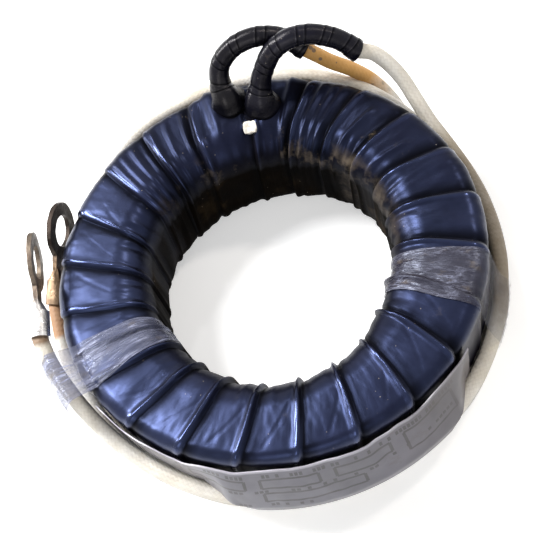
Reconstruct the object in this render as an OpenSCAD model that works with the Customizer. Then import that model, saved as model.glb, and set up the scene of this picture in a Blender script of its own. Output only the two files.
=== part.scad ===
// Window-type current transformer: a strip-wound ring core inside a toroidal
// secondary winding, bound with half-lapped vinyl tape, with two stowed leads.
// The underside stands on z = 0 and the window's axis is the Z axis.

/* [Ring] */
// Outside diameter over the crests of the tape
ring_od = 114; // [108:1:122]
// Diameter of the window between the crests of the tape
window_d = 65; // [58:1:68]
// Height of the taped ring
ring_h = 34; // [30:1:42]
// Rounding of the top edge round the window
round_window_top = 10; // [6:0.5:12]
// Rounding of the bottom edge round the window
round_window_bottom = 8; // [5:0.5:10]
// Rounding of the top outer edge
round_outer_top = 4; // [3:0.5:7]
// Rounding of the bottom outer edge, where one lead is tucked in
round_outer_bottom = 11; // [8:0.5:12]
// How far the ring is out of round across its outside
oval_outer = 0.8; // [0:0.1:1.2]
// How far the window is drawn to three sides by the pull of the tape
three_sided_window = 0.9; // [0:0.1:1.2]

/* [Tape wrap] */
// Turns of tape round the ring
tape_turns = 23; // [18:1:26]
// Height of a turn's crest over the turn before it
crest = 0.9; // [0.3:0.1:1.2]
// Thickness of all layers of tape together, at the thinnest side
wrap_t = 2.4; // [2.3:0.1:2.8]
// Angle at which the first turn's edge crosses the top
first_turn = 10; // [0:1:15]
// Angle that the turns are pushed on by, left of the lead loops
turn_push = 8; // [0:0.5:10]

/* [Core and winding] */
// Diameter of the winding wire over its enamel
wire_d = 1.6; // [1:0.1:1.8]
// Turns of the secondary winding
wire_turns = 36; // [24:1:40]
// Thickness of the cotton insulation over the winding
cotton_t = 0.8; // [0.5:0.1:1.2]
// Thickness of the pressboard round the core
board_t = 0.8; // [0.5:0.1:1.2]
// Gap between one inner layer and the next
layer_gap = 0.2; // [0.1:0.05:0.3]

/* [Leads] */
// Diameter of a lead over its braid
lead_d = 4.2; // [3.6:0.1:4.4]
// Diameter of the black tape over each lead loop
loop_d = 5.8; // [5.4:0.1:6.2]

/* [Terminals] */
// Diameter of the stud hole
stud_hole_d = 9; // [6.4:0.1:10.5]
// Outside diameter of the terminal ring
terminal_od = 16; // [14:0.5:18]
// Thickness of the terminal ring
terminal_t = 1.2; // [0.8:0.1:1.4]
// Length of the terminal from the stud's centre to the middle of the barrel
terminal_reach = 17.4; // [16:0.1:19]
// Length of the crimped barrel
barrel_len = 7; // [6:0.1:8]
// Outside diameter of the barrel
barrel_d = 5.8; // [5.2:0.1:5.8]
// Diameter of the barrel's bore
barrel_bore = 4; // [3.4:0.1:4.4]
// Depth to which the strands are pushed into the barrel
strand_depth = 5.4; // [3:0.2:5.8]

/* [Label and mark] */
// Thickness of the paper label
label_t = 0.35; // [0.25:0.05:0.5]
// Height of the label's top edge over the underside
label_top = 31; // [28:0.5:31]
// Side of the white polarity mark
mark_size = 3.6; // [3:0.1:5]
// Thickness of the polarity mark
mark_t = 0.6; // [0.3:0.1:1]

/* [Clear tape] */
// Thickness of the clear tape over the leads
film_t = 0.3; // [0.2:0.05:0.4]
// Angle that the right band covers, at the middle of the top
film_right_span = 17.5; // [12:0.5:18]
// Angle that the left band covers
film_left_span = 15.5; // [12:0.5:16]

/* [Hidden] */

seat = 0.12;              // gap between pieces that lie on each other
stations = 6;             // stations along each turn of tape
lead_sides = 8;
loop_sides = 10;
wire_sides = 5;
loop_rings = 24;
label_angles = [199, 308];
film_right_mid = 326;
film_left_mid = 189;
mark_angle = 74.5;
mark_share = 0.286;       // where the mark lies, from the window's edge to the outside
label_stand = 13;         // below this height the label stands out over the leads

// Route of each lead from its loop's end: angle round the ring, distance of the
// lead's middle from the tape's crests, and height.
lead_1_route = [
    [41.6, 3.5, 43], [38.5, 5.6, 41], [35, 6.4, 37.5], [31, 6.2, 33], [27, 5.1, 28.7], [21, 3.6, 24.3],
    [13, 2.9, 20.4], [5, 2.7, 18.2], [-4, 2.6, 16.8], [-14, 2.6, 14.8], [-24, 2.6, 12.8], [-36, 2.6, 11.7],
    [-52, 2.6, 11.4], [-70, 2.6, 11.3], [-90, 2.6, 11.3], [-110, 2.6, 11.4], [-126, 2.7, 12], [-140, 3, 13.6],
    [-150, 3.4, 16], [-158, 3.9, 20], [-165.5, 4.3, 24.8], [-172, 4.6, 29.6], [-177, 4.8, 33.2]];
lead_2_route = [
    [55.8, 2.3, 42], [52.5, 2.3, 39.5], [49.5, 2.8, 36.6], [45, 5, 31.4], [40.5, 6.7, 25.5], [36, 6.8, 19.5],
    [30, 4.9, 13.8], [20, 3, 9.3], [8, 2.6, 6.6], [-6, 2.4, 4.8], [-18, 1.7, 3.6], [-30, 0.8, 2.8],
    [-48, 0.2, 2.35], [-75, 0, 2.3], [-105, 0, 2.3], [-130, 0.2, 2.4], [-150, 0.9, 3], [-165, 1.9, 4.2],
    [-180, 2.5, 6.4], [-196, 2.6, 10], [-212, 2.6, 15], [-228, 2.6, 21.4], [-243, 2.6, 27], [-258, 2.6, 29.3],
    [-280, 2.6, 29.5], [-300, 2.6, 29.2], [-313, 2.6, 27.6], [-324, 2.6, 24.8], [-336, 2.6, 19.9],
    [-350, 2.6, 14.6], [-365, 2.6, 11], [-380, 2.6, 8.7], [-396, 2.3, 7.4], [-420, 1.95, 7],
    [-450, 1.85, 6.9], [-478, 1.95, 7], [-498, 2.4, 7.8], [-512, 2.9, 9.2], [-524, 3.1, 11.8],
    [-535, 3.2, 15.2], [-545, 3.6, 18.9]];
// Routes of the taped loops: angle round the ring, share of the way from the
// window to the outside, and height over the top.
loop_1_route = [
    [69.5, 0.576, 0.1], [69.5, 0.588, 2.4], [68.8, 0.649, 5], [66.8, 0.735, 9.5], [63.2, 0.837, 14.4],
    [58.3, 0.927, 17],
    [53.2, 1.024, 16.5], [48.4, 1.09, 14.5], [44.6, 1.131, 11.8]];
loop_2_route = [
    [80.6, 0.706, 0.1], [80.8, 0.727, 2.4], [81.2, 0.829, 5], [79.4, 0.943, 9.6], [74.4, 1, 13.8],
    [68.2, 1.045, 15],
    [63.2, 1.09, 13.2], [59.4, 1.098, 10.6]];
// Lower edge of the label: angle, distance from the crests, height
label_low = [
    [199, 0.3, 24.2], [206, 0.3, 20.4], [213, 0.3, 18], [221, 0.3, 16.4], [229, 0.5, 15.2], [234, 2.6, 14.8],
    [238, 4.9, 14.4], [243, 4.9, 10], [248, 4.4, 7.8], [262, 4.2, 7.2], [276, 4.2, 7.2], [289, 4.3, 7.6],
    [294, 4.9, 10], [298, 4.9, 14], [302, 2.6, 14.2], [305, 0.5, 14.2], [308, 0.3, 14.2]];

// ---- plain helpers ----
function lerp(a, b, t) = a + (b - a) * t;
function unit(v) = v / norm(v);
function step01(t) = let (u = min(max(t, 0), 1)) u * u * (3 - 2 * u);
function on_ring(a, r, z) = [r * cos(a), r * sin(a), z];

// ---- the ring's outline, out of round as wound ----
outer_r = ring_od / 2;
window_r = window_d / 2;
function outer_swell(a) = oval_outer * cos(2 * (a - 174));
function window_swell(a) = three_sided_window * cos(3 * (a - 21));
function wall_r(a) = outer_r + outer_swell(a);

// Corners of the section as [r, z, rounding, start angle], from the bottom outer
// corner up, over the top, and down the window side; the section lies inset deep.
function corners(inset) = [
    [outer_r - round_outer_bottom, round_outer_bottom, round_outer_bottom - inset, -90],
    [outer_r - round_outer_top, ring_h - round_outer_top, round_outer_top - inset, 0],
    [window_r + round_window_top, ring_h - round_window_top, round_window_top - inset, 90],
    [window_r + round_window_bottom, round_window_bottom, round_window_bottom - inset, 180]];
// A corner's own rounding can't be less than a millimetre: the corner moves in instead.
function settled(c, inset) =
    let (r = max(c[2], 1), m = r - c[2],
         sr = c[3] == -90 || c[3] == 0 ? -1 : 1, sz = c[3] == -90 || c[3] == 180 ? 1 : -1)
    [c[0] + sr * m, c[1] + sz * m, r, c[3]];
// Inner layers run round each corner in straight bends that touch its arc.
wire_bends = [22.5, 67.5];
tape_bends = [11.25, 33.75, 56.25, 78.75];
function layer_outline(inset, bends = wire_bends) = [
    for (c = corners(inset)) let (s = settled(c, inset), r = s[2] / cos(bends[0]))
        for (b = bends) [s[0] + r * cos(s[3] + b), s[1] + r * sin(s[3] + b)]];

// ---- tape wrap ----
// Section of the wrap at its crests: position, outward direction and how much of
// the crest stands proud there.
corner_steps = [4, 2, 4, 3];
side_steps = [3, 4, 3, 3];
corner_weight = [0.7, 0.7, 1.2, 1.1];
function wrap_corner(k) =
    let (c = corners(0)[k], n = corner_steps[k])
    [for (i = [0 : n]) let (b = c[3] + 90 * i / n)
        [c[0] + c[2] * cos(b), c[1] + c[2] * sin(b), cos(b), sin(b), corner_weight[k]]];
function wrap_side(k) =
    let (p = wrap_corner(k)[corner_steps[k]], q = wrap_corner((k + 1) % 4)[0], n = side_steps[k])
    [for (i = [1 : 1 : n - 1]) [for (j = [0 : 4]) lerp(p[j], q[j], i / n)]];
wrap_section = [for (k = [0 : 3]) each concat(wrap_corner(k), wrap_side(k))];
section_n = len(wrap_section);
top_share = (corner_steps[0] + side_steps[0] + corner_steps[1] + side_steps[1] / 2) / section_n;

// Phase of each station in a turn, and how high the tape stands there: the tape
// climbs over the turn before it and drops at its own edge.
phases = [0, 0.14, 0.4, 0.68, 0.86, 0.94];
heights = [0, 0.1, 0.38, 0.72, 1, 0.9];

pitch = 360 / tape_turns;
// Angle at which a given number of turns crosses the middle of the top
push_from = 4.2;
push_full = 5.1;
push_back = 10.3;
push_end = 12;
function pushed(x) =
    let (u = x - tape_turns * floor(x / tape_turns))
    turn_push * (step01((u - push_from) / (push_full - push_from))
                 - step01((u - push_back) / (push_end - push_back)));
function turn_angle(x) = first_turn + pitch * x + pushed(x);
function turn_size(k) = 0.82 + 0.18 * sin(137 * (k % tape_turns));

station_n = tape_turns * stations;
function wrap_point(i, j) =
    let (k = floor(i / stations), s = i % stations, q = wrap_section[j],
         x = k + phases[s] + j / section_n - top_share,
         a = turn_angle(x),
         proud = crest * q[4] * (heights[s] * turn_size(k) - 1),
         inner = max(-q[2], 0), outer = max(q[2], 0),
         r = q[0] + q[2] * proud + outer * outer_swell(a) + inner * window_swell(a),
         z = q[1] + q[3] * proud)
    on_ring(a, r, max(z, 0));
function wrap_index(i, j) =
    let (jj = j % section_n, ii = (i + (j >= section_n ? stations : 0)) % station_n) ii * section_n + jj;

module tape_wrap() color([0.07, 0.07, 0.12]) difference() {
    polyhedron(
        points = [for (i = [0 : station_n - 1], j = [0 : section_n - 1]) wrap_point(i, j)],
        faces = [for (i = [0 : station_n - 1], j = [0 : section_n - 1], h = [0, 1])
            h == 0 ? [wrap_index(i, j), wrap_index(i, j + 1), wrap_index(i + 1, j + 1)]
                   : [wrap_index(i, j), wrap_index(i + 1, j + 1), wrap_index(i + 1, j)]],
        convexity = 6);
    rotate_extrude($fn = 96) polygon(layer_outline(wrap_t, tape_bends));
}

// ---- inner layers ----
cotton_out = wrap_t + layer_gap;
cotton_in = cotton_out + cotton_t;
wire_mid = cotton_in + layer_gap + wire_d / 2;
board_out = wire_mid + wire_d / 2 + layer_gap;
core_inset = board_out + board_t + layer_gap / 2;

module winding_cotton() color([0.85, 0.8, 0.68]) rotate_extrude($fn = 96) difference() {
    polygon(layer_outline(cotton_out, tape_bends));
    polygon(layer_outline(cotton_in));
}

// The winding's wire: straight along each side, bent round each corner, and one
// pitch further round the ring at the end of every turn.
wire_path = layer_outline(wire_mid);
wire_path_n = len(wire_path);
wire_ring_n = wire_turns * wire_path_n;
function wire_at(i) =
    let (p = wire_path[i % wire_path_n]) on_ring(360 * i / wire_ring_n, p[0], p[1]);

module secondary_winding() color([0.72, 0.36, 0.16])
    closed_tube([for (i = [0 : wire_ring_n - 1]) wire_at(i)], wire_d / 2, wire_sides);

// The core's section is the largest rectangle whose boards stay inside the wire.
core_r0 = max([for (k = [2, 3]) let (s = settled(corners(board_out)[k], board_out))
    s[0] - s[2] * sin(45)]) + board_t + layer_gap;
core_r1 = min([for (k = [0, 1]) let (s = settled(corners(board_out)[k], board_out))
    s[0] + s[2] * sin(45)]) - board_t - layer_gap;
core_z0 = max([for (k = [0, 3]) let (s = settled(corners(board_out)[k], board_out))
    s[1] - s[2] * sin(45)]) + board_t + layer_gap;
core_z1 = min([for (k = [1, 2]) let (s = settled(corners(board_out)[k], board_out))
    s[1] + s[2] * sin(45)]) - board_t - layer_gap;

module band(r0, r1, z0, z1) rotate_extrude($fn = 96) translate([r0, z0]) square([r1 - r0, z1 - z0]);

// One long strip of core steel, rolled up solid
module core() color([0.5, 0.52, 0.55]) band(core_r0, core_r1, core_z0, core_z1);
module core_sleeve_inner() color([0.68, 0.6, 0.45])
    band(core_r0 - layer_gap / 2 - board_t, core_r0 - layer_gap / 2, core_z0, core_z1);
module core_sleeve_outer() color([0.68, 0.6, 0.45])
    band(core_r1 + layer_gap / 2, core_r1 + layer_gap / 2 + board_t, core_z0, core_z1);
module core_ring(z)
    band(core_r0 - layer_gap / 2 - board_t, core_r1 + layer_gap / 2 + board_t, z, z + board_t);
module core_ring_top() color([0.62, 0.54, 0.4]) core_ring(core_z1);
module core_ring_bottom() color([0.62, 0.54, 0.4]) core_ring(core_z0 - board_t);

// ---- swept tubes ----
// A ring of points round p, square to direction t; side fixes how it is turned.
function tube_ring(p, t, side, r, n) =
    let (u = unit(cross(side, t)), v = cross(t, u))
    [for (k = [0 : n - 1]) p + r * (cos(360 * k / n) * u + sin(360 * k / n) * v)];
function tube_faces(rings, n) = [for (i = [0 : rings - 2], k = [0 : n - 1], h = [0, 1])
    let (a = i * n + k, b = i * n + (k + 1) % n) h == 0 ? [a, a + n, b + n] : [a, b + n, b]];
module open_tube(path, radii, n, side, t_first, t_last) {
    m = len(path);
    tangents = [for (i = [0 : m - 1])
        i == 0 ? t_first : i == m - 1 ? t_last : unit(path[i + 1] - path[i - 1])];
    polyhedron(
        points = [for (i = [0 : m - 1]) each tube_ring(path[i], tangents[i], side, radii[i], n)],
        faces = concat([[for (k = [0 : n - 1]) k]], tube_faces(m, n),
            [[for (k = [n - 1 : -1 : 0]) (m - 1) * n + k]]),
        convexity = 6);
}
// A closed tube whose rings stand square to the way along the section.
module closed_tube(path, r, n) {
    m = len(path);
    polyhedron(
        points = [for (i = [0 : m - 1])
            let (p = path[i], t = unit(path[(i + 1) % m] - path[(i + m - 1) % m]),
                 side = unit([-p[1], p[0], 0])) each tube_ring(p, t, side, r, n)],
        faces = [for (i = [0 : m - 1], k = [0 : n - 1], h = [0, 1])
            let (a = i * n + k, b = i * n + (k + 1) % n,
                 c = (i + 1) % m * n + k, d = (i + 1) % m * n + (k + 1) % n)
            h == 0 ? [a, c, d] : [a, d, b]],
        convexity = 10);
}
// A smooth curve through the points of a route, at u from 0 to its last point
function curve_at(route, u) =
    let (n = len(route), i = min(floor(u), n - 2), t = u - i,
         p0 = route[max(i - 1, 0)], p1 = route[i], p2 = route[i + 1], p3 = route[min(i + 2, n - 1)])
    0.5 * (2 * p1 + (p2 - p0) * t + (2 * p0 - 5 * p1 + 4 * p2 - p3) * t * t
           + (3 * p1 - p0 - 3 * p2 + p3) * t * t * t);

// The same curve with its rings an equal way apart
curve_parts = 8;
function curve_table(route) =
    let (n = (len(route) - 1) * curve_parts,
         p = [for (i = [0 : n]) curve_at(route, i / curve_parts)])
    [for (i = 0, s = 0; i <= n; s = s + norm(p[min(i + 1, n)] - p[i]), i = i + 1) [s, i / curve_parts]];
function even_curve(route, rings) =
    let (table = curve_table(route), whole = table[len(table) - 1][0])
    [for (i = [0 : rings]) curve_at(route, lookup(whole * i / rings, table))];

// ---- terminals: the axis lies along the lead, the ring stands on edge ----
// Each is placed by the heading, rise and roll of its tongue and by its stud's centre:
// how far its plane keeps outside the ring, how far on along it, and how high.
terminal_1_dir = [74, 9.5, 10.5];
terminal_2_dir = [62, 19, 0];
terminal_1_at = [3.55, 5.75, 40];
terminal_2_at = [3.15, 7.65, 30];
function heading(dir) = [cos(dir[0]) * cos(dir[1]), sin(dir[0]) * cos(dir[1]), sin(dir[1])];
function stud_centre(dir, at) =
    let (hug = outer_r + at[0])
    [at[1] * cos(dir[0]) - hug * sin(dir[0]), at[1] * sin(dir[0]) + hug * cos(dir[0]), at[2]];
stud_1 = stud_centre(terminal_1_dir, terminal_1_at);
stud_2 = stud_centre(terminal_2_dir, terminal_2_at);
function barrel_mouth(stud, dir) = stud - (terminal_reach + barrel_len / 2) * heading(dir);

// Along +X: ring round the stud hole, tapered tongue, and the crimped barrel
tongue_w = 8.4;           // width of the tongue where it meets the ring
crimp_d = 4;              // diameter of the crimping tool's nose
crimp_depth = 0.35 * (barrel_d - barrel_bore);
module ring_terminal() {
    barrel_x = -terminal_reach - barrel_len / 2;
    tongue_x = barrel_x + barrel_len;
    neck_w = barrel_d - 0.6;
    difference() {
        union() {
            rotate([90, 0, 0]) cylinder(d = terminal_od, h = terminal_t, center = true, $fn = 64);
            rotate([90, 0, 0]) linear_extrude(terminal_t, center = true) polygon([
                [tongue_x - 1, -neck_w / 2], [-stud_hole_d / 2, -tongue_w / 2],
                [-stud_hole_d / 2, tongue_w / 2], [tongue_x - 1, neck_w / 2]]);
            translate([barrel_x, 0, 0]) rotate([0, 90, 0]) cylinder(d = barrel_d, h = barrel_len, $fn = 48);
        }
        rotate([90, 0, 0]) cylinder(d = stud_hole_d, h = 4 * terminal_t, center = true, $fn = 64);
        translate([barrel_x - 1, 0, 0]) rotate([0, 90, 0])
            cylinder(d = barrel_bore, h = strand_depth + 1, $fn = 48);
        translate([-terminal_reach, (barrel_d + crimp_d) / 2 - crimp_depth, 0])
            cylinder(d = crimp_d, h = 2 * barrel_d, center = true, $fn = 48);
    }
}
module strand_end() translate([-terminal_reach - barrel_len / 2, 0, 0]) rotate([0, 90, 0])
    cylinder(d = barrel_bore - 0.1, h = strand_depth - 0.1, $fn = 48);
module at_terminal(stud, dir) translate(stud) rotate([0, -dir[1], dir[0]]) rotate([dir[2], 0, 0]) children();
module terminal_1() color([0.5, 0.45, 0.38]) at_terminal(stud_1, terminal_1_dir) ring_terminal();
module terminal_2() color([0.42, 0.34, 0.26]) at_terminal(stud_2, terminal_2_dir) ring_terminal();
module strand_end_1() color([0.7, 0.42, 0.22]) at_terminal(stud_1, terminal_1_dir) strand_end();
module strand_end_2() color([0.7, 0.42, 0.22]) at_terminal(stud_2, terminal_2_dir) strand_end();

// ---- lead loops, bound with black tape, standing on the ring's top ----
function loop_place(p) = on_ring(p[0], lerp(window_r, outer_r, p[1]), ring_h + p[2]);
function loop_path(route, last) =
    even_curve(concat([for (p = route) loop_place(p)], [last]), loop_rings);
// Every other ring is a lap of the tape; the root is gathered wider.
function loop_radii() = [for (i = [0 : loop_rings])
    let (root = 1 - step01(i / 4)) loop_d / 2 + 0.9 * root + (i % 2 == 0 ? 0 : -0.22)];
module lead_loop(route, last, t_last) {
    path = loop_path(route, last);
    open_tube(path, loop_radii(), loop_sides, [0, 1, 0], [0, 0, 1], t_last);
}

// ---- leads ----
function lead_place(p) = on_ring(p[0], wall_r(p[0]) + p[1], p[2]);
function lead_path(route, rings, last) =
    even_curve(concat([for (p = route) lead_place(p)], [last]), rings);
lead_1_start = lead_place(lead_1_route[0]);
lead_2_start = lead_place(lead_2_route[0]);
lead_1_end = barrel_mouth(stud_1, terminal_1_dir);
lead_2_end = barrel_mouth(stud_2, terminal_2_dir);
lead_1_leaves = unit([2.9, -1.4, -2.6]);
lead_2_leaves = unit([2.7, -2.2, -2.4]);
module lead(route, rings, last, t_first, dir)
    open_tube(lead_path(route, rings, last), [for (i = [0 : rings]) lead_d / 2], lead_sides,
              [0, 0, 1], t_first, heading(dir));
module lead_1() color([0.85, 0.82, 0.74]) lead(lead_1_route, 24, lead_1_end, lead_1_leaves, terminal_1_dir);
module lead_2() color([0.78, 0.7, 0.5]) lead(lead_2_route, 54, lead_2_end, lead_2_leaves, terminal_2_dir);
module lead_1_loop() color([0.06, 0.06, 0.09]) lead_loop(loop_1_route, lead_1_start, lead_1_leaves);
module lead_2_loop() color([0.06, 0.06, 0.09]) lead_loop(loop_2_route, lead_2_start, lead_2_leaves);

// ---- label: a paper strip on the wall, standing out over the stowed leads ----
label_steps = 44;
label_rows = 4;
function label_edge(a) =
    let (i = max([for (k = [0 : len(label_low) - 2]) label_low[k][0] <= a ? k : 0]),
         p = label_low[i], q = label_low[i + 1], t = min(max((a - p[0]) / (q[0] - p[0]), 0), 1))
    [lerp(p[1], q[1], t), lerp(p[2], q[2], t)];
function label_wave(a) = 0.45 * sin(tape_turns * (a - first_turn)) + 0.25 * sin(2.7 * (a - 199));
function label_point(a, row) =
    let (top = [seat + 0.1, label_top + label_wave(a) - 0.7], low = label_edge(a),
         full = low[1] < label_stand, belly = full ? [lead_d + 0.75, 12.6] : low,
         p = row < label_rows ? lerp(top, belly, full ? row / (label_rows - 1) : row / label_rows) : low)
    row == label_rows ? low : p;
function label_vertex(a, row, out) =
    let (p = label_point(a, row)) on_ring(a, wall_r(a) + p[0] + out * label_t, p[1]);
label_grid_n = (label_steps + 1) * (label_rows + 1);
function label_index(i, row, out) = out * label_grid_n + i * (label_rows + 1) + row;
function quad(a, b, c, d) = [[a, b, c], [a, c, d]];
module label() color([0.6, 0.59, 0.66]) polyhedron(
    points = [for (out = [0, 1], i = [0 : label_steps], row = [0 : label_rows])
        label_vertex(lerp(label_angles[0], label_angles[1], i / label_steps), row, out)],
    faces = concat(
        [for (i = [0 : label_steps - 1], row = [0 : label_rows - 1])
            each concat(quad(label_index(i, row, 0), label_index(i, row + 1, 0),
                             label_index(i + 1, row + 1, 0), label_index(i + 1, row, 0)),
                        quad(label_index(i, row, 1), label_index(i + 1, row, 1),
                             label_index(i + 1, row + 1, 1), label_index(i, row + 1, 1)))],
        [for (i = [0 : label_steps - 1], row = [0, label_rows])
            each (row != 0 ? quad(label_index(i, row, 0), label_index(i, row, 1),
                                  label_index(i + 1, row, 1), label_index(i + 1, row, 0))
                           : quad(label_index(i, row, 1), label_index(i, row, 0),
                                  label_index(i + 1, row, 0), label_index(i + 1, row, 1)))],
        [for (i = [0, label_steps], row = [0 : label_rows - 1])
            each (i != 0 ? quad(label_index(i, row, 0), label_index(i, row + 1, 0),
                                label_index(i, row + 1, 1), label_index(i, row, 1))
                         : quad(label_index(i, row, 1), label_index(i, row + 1, 1),
                                label_index(i, row + 1, 0), label_index(i, row, 0)))]),
    convexity = 6);

// ---- clear tape over the ring and the leads ----
// The band spans the tightest place of the window that it covers.
function film_draw(a) = min([for (d = [-10 : 2.5 : 10]) window_swell(a + d)]);
// An upper corner of the section at an angle, from a given sixth of its bend on
function bend_points(k, a, from) =
    let (c = corners(0)[k], w = k == 1 ? outer_swell(a) : film_draw(a))
    [for (i = [from : 6]) [c[0] + w + c[2] * cos(c[3] + 15 * i), c[1] + c[2] * sin(c[3] + 15 * i)]];
// The line that a band lies on: out over the leads, then over the top to the window
function film_base(a, over, from) = concat(
    [for (p = over) [wall_r(a) + p[0], p[1]]], bend_points(1, a, from), bend_points(2, a, 0),
    [[window_r + film_draw(a), round_window_bottom]]);
// A line moved to its right by d, square to both of its parts at each point
function beside(line, d) = let (n = len(line)) [for (i = [0 : n - 1])
    let (u = unit(line[max(i, 1)] - line[max(i, 1) - 1]),
         v = unit(line[min(i, n - 2) + 1] - line[min(i, n - 2)]),
         m = unit([u[1] + v[1], -u[0] - v[0]]))
    line[i] + m * d / (m * [v[1], -v[0]])];
module film(mid, span, over, from) {
    base = film_base(mid, over, from);
    under = beside(base, seat);
    top = beside(base, seat + film_t);
    rotate([0, 0, mid - span / 2]) rotate_extrude(angle = span, $fn = 96)
        polygon(concat(under, [for (i = [len(top) - 1 : -1 : 0]) top[i]]));
}
// Where each band stands over the leads: how far out from the wall, and how high
over_right = [[4.2, 2.6], [5, 6], [5.2, 14.5], [2.6, 23]];
over_left = [[5.8, 11.6], [6.4, 17], [7.3, 23], [7.5, 33.6], [6.4, 37], [4.2, 38.2]];
module clear_tape_right() color([0.55, 0.55, 0.6, 0.5]) film(film_right_mid, film_right_span, over_right, 0);
module clear_tape_left() color([0.6, 0.6, 0.65, 0.5]) film(film_left_mid, film_left_span, over_left, 4);

// ---- polarity mark, stuck to the sloping inside of the top ----
module polarity_mark() color([0.9, 0.88, 0.82]) {
    c = [window_r + round_window_top, ring_h - round_window_top];
    lean = asin(max(min((c[0] - lerp(window_r, outer_r, mark_share)) / round_window_top, 1), 0));
    swell = max(-window_swell(mark_angle), 0) * pow(sin(lean), 2);
    rotate([0, 0, mark_angle]) translate([c[0], 0, c[1]]) rotate([0, -lean, 0])
        translate([0, 0, round_window_top + swell + seat + mark_t / 2])
            cube([mark_size, mark_size, mark_t], center = true);
}

core();
core_sleeve_inner();
core_sleeve_outer();
core_ring_top();
core_ring_bottom();
secondary_winding();
winding_cotton();
tape_wrap();
lead_1_loop();
lead_2_loop();
lead_1();
lead_2();
terminal_1();
terminal_2();
strand_end_1();
strand_end_2();
label();
clear_tape_right();
clear_tape_left();
polarity_mark();
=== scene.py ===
"""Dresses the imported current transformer: tape wrap, taped loops, braided leads,
ring terminals, label, clear tapes and the stage. Laid out as an add-on and run as a script."""
import math

import bpy
import numpy as np
from mathutils import Matrix, Vector, noise


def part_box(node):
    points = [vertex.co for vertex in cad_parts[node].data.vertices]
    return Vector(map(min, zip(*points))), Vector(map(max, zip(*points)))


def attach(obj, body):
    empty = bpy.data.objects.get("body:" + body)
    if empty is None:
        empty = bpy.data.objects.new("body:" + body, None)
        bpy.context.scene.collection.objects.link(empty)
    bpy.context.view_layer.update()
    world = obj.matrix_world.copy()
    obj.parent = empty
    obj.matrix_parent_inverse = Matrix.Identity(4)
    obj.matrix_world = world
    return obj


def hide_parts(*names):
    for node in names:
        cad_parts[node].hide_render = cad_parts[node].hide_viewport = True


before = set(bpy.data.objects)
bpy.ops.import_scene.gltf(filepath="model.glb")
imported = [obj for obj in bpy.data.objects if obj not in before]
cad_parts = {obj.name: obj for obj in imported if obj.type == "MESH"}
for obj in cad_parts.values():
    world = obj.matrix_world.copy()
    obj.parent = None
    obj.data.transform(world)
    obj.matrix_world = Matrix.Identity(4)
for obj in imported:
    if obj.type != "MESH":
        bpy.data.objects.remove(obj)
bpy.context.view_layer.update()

bl_info = {
    "name": "Ring current transformer dressing",
    "version": (1, 0, 0),
    "blender": (4, 5, 0),
    "location": "View3D > Sidebar > Transformer",
    "description": "Dresses a taped ring current transformer with its leads, label and stage",
    "category": "Object",
}

MM = 0.001

# ---- sizes shared with the solids, in millimetres and degrees ----
OUTER, WINDOW, HEIGHT = 57.0, 32.5, 34.0    # the tape's outside and window radii, and its top
TURNS, CREST = 23, 0.9                      # turns of tape, and how proud each one stands
# the ring's section, from the floor outside round to the floor inside: each corner's centre
# (radius, height), its radius and first direction, the steps over it and over the side after it,
# and how much of the crest shows there
CORNERS = [(46, 11, 11, -90), (53, 30, 4, 0), (42.5, 24, 10, 90), (40.5, 8, 8, 180)]
CORNER_STEPS, SIDE_STEPS = (4, 2, 4, 3), (3, 4, 3, 3)
WEIGHTS = (0.7, 0.7, 1.2, 1.1)
SECTION_N = 26                              # steps round the whole section
TOP_SHARE = 11 / SECTION_N                  # where the middle of the top lies
BACK_FROM = 23                              # the step from which the turns' edges go back
SECTION_R = 45                              # radius of the section's middle

# the leads' routes: angle, distance from the wall, height
LEAD_1 = [
    (41.6, 3.5, 43), (38.5, 5.6, 41), (35, 6.4, 37.5), (31, 6.2, 33), (27, 5.1, 28.7), (21, 3.6, 24.3),
    (13, 2.9, 20.4), (5, 2.7, 18.2), (-4, 2.6, 16.8), (-14, 2.6, 14.8), (-24, 2.6, 12.8), (-36, 2.6, 11.7),
    (-52, 2.6, 11.4), (-70, 2.6, 11.3), (-90, 2.6, 11.3), (-110, 2.6, 11.4), (-126, 2.7, 12), (-140, 3, 13.6),
    (-150, 3.4, 16), (-158, 3.9, 20), (-165.5, 4.3, 24.8), (-172, 4.6, 29.6), (-177, 4.8, 33.2)]
LEAD_2 = [
    (55.8, 2.3, 42), (52.5, 2.3, 39.5), (49.5, 2.8, 36.6), (45, 5, 31.4), (40.5, 6.7, 25.5), (36, 6.8, 19.5),
    (30, 4.9, 13.8), (20, 3, 9.3), (8, 2.6, 6.6), (-6, 2.4, 4.8), (-18, 1.7, 3.6), (-30, 0.8, 2.8),
    (-48, 0.2, 2.35), (-75, 0, 2.3), (-105, 0, 2.3), (-130, 0.2, 2.4), (-150, 0.9, 3), (-165, 1.9, 4.2),
    (-180, 2.5, 6.4), (-196, 2.6, 10), (-212, 2.6, 15), (-228, 2.6, 21.4), (-243, 2.6, 27), (-258, 2.6, 29.3),
    (-280, 2.6, 29.5), (-300, 2.6, 29.2), (-313, 2.6, 27.6), (-324, 2.6, 24.8), (-336, 2.6, 19.9),
    (-350, 2.6, 14.6), (-365, 2.6, 11), (-380, 2.6, 8.7), (-396, 2.3, 7.4), (-420, 1.95, 7), (-450, 1.85, 6.9),
    (-478, 1.95, 7), (-498, 2.4, 7.8), (-512, 2.9, 9.2), (-524, 3.1, 11.8), (-535, 3.2, 15.2), (-545, 3.6, 18.9)]
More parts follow.
